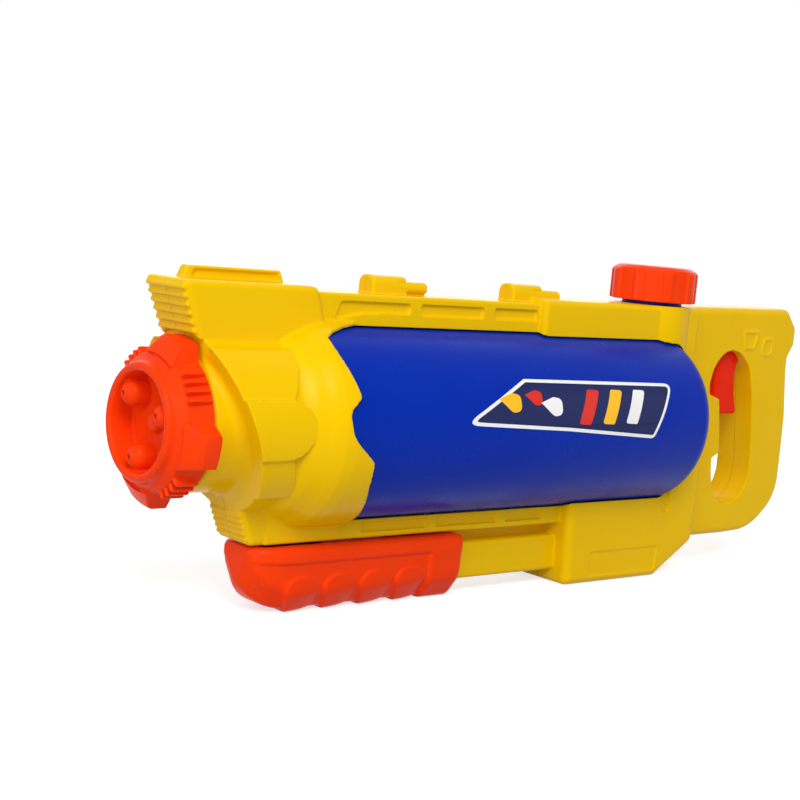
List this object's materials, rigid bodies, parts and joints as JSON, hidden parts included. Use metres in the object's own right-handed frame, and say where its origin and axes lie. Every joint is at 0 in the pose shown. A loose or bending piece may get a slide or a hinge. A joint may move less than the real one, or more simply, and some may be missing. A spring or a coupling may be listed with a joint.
{
  "type": "water squirter",
  "caption": "Toy water squirter with a round pressure tank, a turning outlet head, a sliding pump grip under it, a screw filler cap and a trigger in a looped rear handle.",
  "frame": {"origin": "middle of the bounding box at its bottom, on the surface the squirter stands on", "axes": "outlets point to -X, rear handle at +X, filler cap up at +Z, right-hand shell at +Y"},
  "size_m": [0.461, 0.1014, 0.1768],
  "materials": {
    "body_yellow": "glossy injection-moulded yellow",
    "tank_blue": "semi-gloss blow-moulded blue",
    "trim_orange": "semi-gloss moulded orange-red",
    "trigger_red": "semi-gloss moulded red",
    "natural_plastic": "satin uncoloured plastic",
    "seal_rubber": "matt black rubber",
    "hose_vinyl": "cloudy soft vinyl",
    "steel": "bright zinc-plated steel"
  },
  "bodies": {
    "body": {"body_shell_left": "body_yellow", "body_shell_right": "body_yellow", "body_screw_1": "steel", "body_screw_2": "steel", "body_screw_3": "steel", "body_screw_4": "steel", "body_screw_5": "steel", "body_screw_6": "steel", "body_screw_7": "steel", "body_screw_8": "steel", "pressure_tank": "tank_blue", "nozzle_gasket": "seal_rubber", "nozzle_manifold": "natural_plastic", "nozzle_screw": "steel", "pump_cylinder": "natural_plastic", "rod_bush": "natural_plastic", "check_valve": "natural_plastic", "flap_valve": "seal_rubber", "valve_body": "natural_plastic", "valve_spring": "steel", "trigger_pin": "steel", "air_hose": "hose_vinyl", "supply_hose": "hose_vinyl", "delivery_hose": "hose_vinyl"},
    "nozzle": {"nozzle_head": "trim_orange"},
    "pump": {"pump_grip": "trim_orange", "pump_rod": "steel", "rod_nut": "steel", "pump_piston": "natural_plastic", "piston_seal": "seal_rubber"},
    "trigger_lever": {"trigger": "trigger_red"},
    "valve_stem": {"trigger_rod": "steel", "valve_plunger": "natural_plastic", "plunger_seal": "seal_rubber"},
    "cap_seal": {"cap_gasket": "seal_rubber"},
    "cap": {"filler_cap": "trim_orange"}
  },
  "joints": [
    {"name": "nozzle_turn", "type": "hinge", "parent": "body", "child": "nozzle", "pos_m": [-0.2145, 0, 0.0905], "axis": [1, 0, 0], "range_deg": [0, 60]},
    {"name": "pump_slide", "type": "slide", "parent": "body", "child": "pump", "axis": [1, 0, 0], "range_m": [0, 0.072]},
    {"name": "trigger_pull", "type": "hinge", "parent": "body", "child": "trigger_lever", "pos_m": [0.1835, 0, 0.138], "axis": [0, -1, 0], "range_deg": [0, 8], "stiffness_Nm_per_rad": 1.5},
    {"name": "valve_push", "type": "slide", "parent": "body", "child": "valve_stem", "axis": [0, 0, -1], "range_m": [0, 0.0055], "deforming": ["valve_spring"]},
    {"name": "cap_lift", "type": "slide", "parent": "body", "child": "cap_seal", "axis": [0, 0, 1], "range_m": [0, 0.0151]},
    {"name": "cap_turn", "type": "hinge", "parent": "cap_seal", "child": "cap", "pos_m": [0.1045, 0, 0.165], "axis": [0, 0, 1], "range_deg": [0, 900]}
  ],
  "couplings": [
    {"joint": "valve_push", "follows": "trigger_pull", "m_per_rad": 0.0385},
    {"joint": "cap_lift", "follows": "cap_turn", "m_per_rad": 0.00095493}
  ]
}
